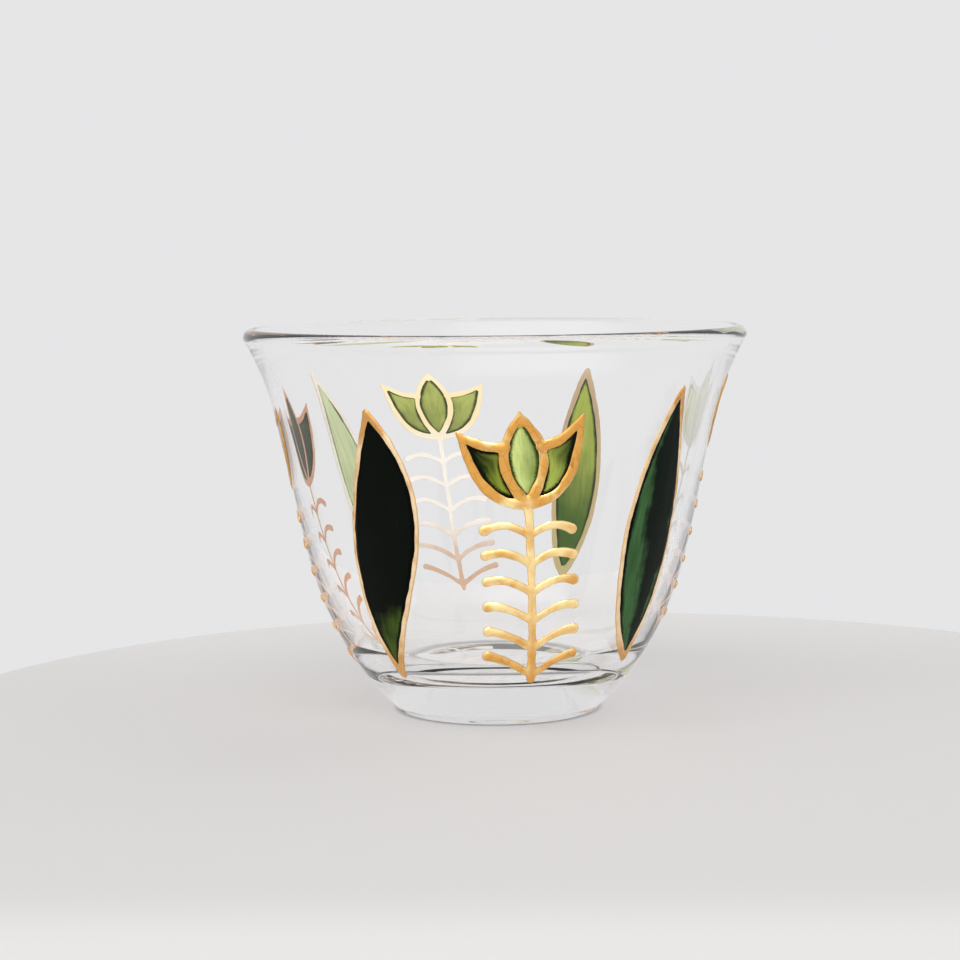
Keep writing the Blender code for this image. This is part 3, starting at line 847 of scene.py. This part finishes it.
def stand_white():
    """Matt white, with painted light that makes it paler at the far and front ends, and a painted contact
    shadow, a soft dark ring where the foot meets it. The camera sees it a little darker than the glass and
    the light do."""
    material, start = new_material("stand_white")
    x, y, _ = start.node("ShaderNodeTexCoord", {}, {}, "Object").xyz()
    camera = start.node("ShaderNodeLightPath", {}, {}).output("Is Camera Ray")
    radius = (x * x + y * y) ** 0.5 / MM
    # Painted light: paler towards the far and the front end.
    ends = (y / MM).between(10.0, 100.0) + 1.0 - (y / MM).between(-112.0, -90.0)
    top = camera.mix(STAND_LIT, ends.mix(STAND_NEAR, STAND_LIT_ENDS))
    # Painted contact shadow: a soft grey ring just outside the foot.
    contact_shadow = radius.between(11.6, 12.4) * (1.0 - radius.between(12.8, 14.2))
    colour = (0.75 * contact_shadow).mix(top, CONTACT_SHADOW_GREY)
    white = start.node("ShaderNodeBsdfPrincipled", {}, {"Base Color": colour, "Roughness": 0.8})
    start.node("ShaderNodeOutputMaterial", {}, {"Surface": white})
    return material


def pale_stand():
    """Flat top with a rounded edge, just under the foot."""
    flat = STAND_RADIUS - STAND_EDGE
    bends = (0.0, 0.4, 0.8, 1.2, 1.57)
    profile = [(0.0, 0.0)]
    profile += [(flat + STAND_EDGE * math.sin(a), STAND_EDGE * (math.cos(a) - 1.0)) for a in bends]
    profile += [(STAND_RADIUS, -STAND_DEPTH), (0.0, -STAND_DEPTH)]
    places, faces = [], []
    for i in range(STAND_SIDES):
        a = math.tau * i / STAND_SIDES
        stretch = STAND_FRONT if math.sin(a) < 0.0 else 1.0
        for radius, height in profile:
            x = STAND_CENTRE[0] + radius * math.cos(a)
            y = STAND_CENTRE[1] + stretch * radius * math.sin(a)
            places.append((x * MM, y * MM, (height - STAND_GAP) * MM))
    wide = len(profile)
    for i in range(STAND_SIDES):
        j = (i + 1) % STAND_SIDES
        for k in range(wide - 1):
            faces.append((i * wide + k, i * wide + k + 1, j * wide + k + 1, j * wide + k))
    mesh = bpy.data.meshes.new("stand")
    mesh.from_pydata(places, [], faces)
    mesh.shade_smooth()
    mesh.materials.append(stand_white())
    stand = bpy.data.objects.new("stand", mesh)
    bpy.context.scene.collection.objects.link(stand)


def pale_room():
    """Pale even background for what is seen, mirrored or seen through the glass, and a dimmer room with two
    soft lamps for the light. Mirrors also show the front lamp, weakened."""
    world = bpy.data.worlds.new("pale_room")
    world.use_nodes = True
    world.node_tree.nodes.clear()
    start = Wire(world.node_tree)
    toward = start.node("ShaderNodeTexCoord", {}, {}, "Generated")
    _, _, up = toward.xyz()
    facing, filling = (
        start.node("ShaderNodeVectorMath", {"operation": "DOT_PRODUCT"}, {0: toward, 1: way}, "Value")
        for way in (Vector(LAMP_WAY).normalized(), Vector(FILL_WAY).normalized())
    )
    ceiling = up.between(0.25, 0.75)
    below = (0.0 - up).between(0.1, 0.3)
    lamp = LAMP_LEVEL * facing.between(*LAMP_SPREAD)
    lamps = lamp + FILL_LEVEL * filling.between(*LAMP_SPREAD)
    level = WALL_LEVEL + CEILING_LEVEL * ceiling + GROUND_LEVEL * below + lamps
    path = start.node("ShaderNodeLightPath", {}, {})
    glossy = path.output("Is Glossy Ray")
    through = path.output("Is Transmission Ray")
    seen = path.math("MAXIMUM", path.math("MAXIMUM", path.output("Is Camera Ray"), through), glossy)
    mirrored = LAMP_MIRRORED * glossy * (1.0 - through) * lamp
    room = start.node("ShaderNodeBackground", {}, {"Color": LAMP_COLOUR, "Strength": level})
    plain = start.node("ShaderNodeBackground", {}, {"Color": BACKGROUND, "Strength": 1.0})
    shine = start.node("ShaderNodeBackground", {}, {"Color": LAMP_COLOUR, "Strength": mirrored})
    backdrop = start.node("ShaderNodeAddShader", {}, {0: plain, 1: shine})
    both = start.node("ShaderNodeMixShader", {}, {0: seen, 1: room, 2: backdrop})
    start.node("ShaderNodeOutputWorld", {}, {"Surface": both})
    bpy.context.scene.world = world


def paint_lamp(name, place, aim, size, power):
    """Soft lamp for the paint alone, so that its outline is not mirrored in the glass."""
    data = bpy.data.lights.new(name, "AREA")
    data.energy = power
    data.size = size
    lamp = bpy.data.objects.new(name, data)
    lamp.location = place
    lamp.rotation_euler = (Vector(aim) - Vector(place)).to_track_quat("-Z", "Y").to_euler()
    bpy.context.scene.collection.objects.link(lamp)
    painted = bpy.data.collections.new("painted")
    for item in bpy.context.scene.objects:
        if item.name.endswith(("_paste", "_film")):
            painted.objects.link(item)
    lamp.light_linking.receiver_collection = painted


def photo_camera():
    """Camera at the photograph's height, distance and tilt."""
    distance, height, pitch, yaw, roll = 325.15, 62.15, 0.0978, -0.0065, -0.0098
    ahead = Vector((math.sin(yaw) * math.cos(pitch), math.cos(yaw) * math.cos(pitch), -math.sin(pitch)))
    right = Vector((math.cos(yaw), -math.sin(yaw), 0.0))
    up = right.cross(ahead)
    rolled_right = math.cos(roll) * right + math.sin(roll) * up
    rolled_up = math.cos(roll) * up - math.sin(roll) * right
    turn = Matrix((rolled_right, rolled_up, -ahead)).transposed().to_4x4()
    turn.translation = (0.0, -distance * MM, height * MM)
    view = bpy.data.cameras.new("photo_camera")
    view.lens = 92.69
    view.clip_start = 0.005
    camera = bpy.data.objects.new("photo_camera", view)
    camera.matrix_world = turn
    bpy.context.scene.collection.objects.link(camera)
    bpy.context.scene.camera = camera


pale_stand()
pale_room()
paint_lamp("paint_lamp", (0.05, -0.22, 0.40), (0.0, 0.0, 0.02), 0.10, 1.0)
photo_camera()
scene = bpy.context.scene
scene.view_settings.view_transform = "Standard"
scene.cycles.max_bounces = 32
scene.cycles.diffuse_bounces = 4
scene.cycles.glossy_bounces = 6
scene.cycles.transmission_bounces = 24
scene.cycles.transparent_max_bounces = 24
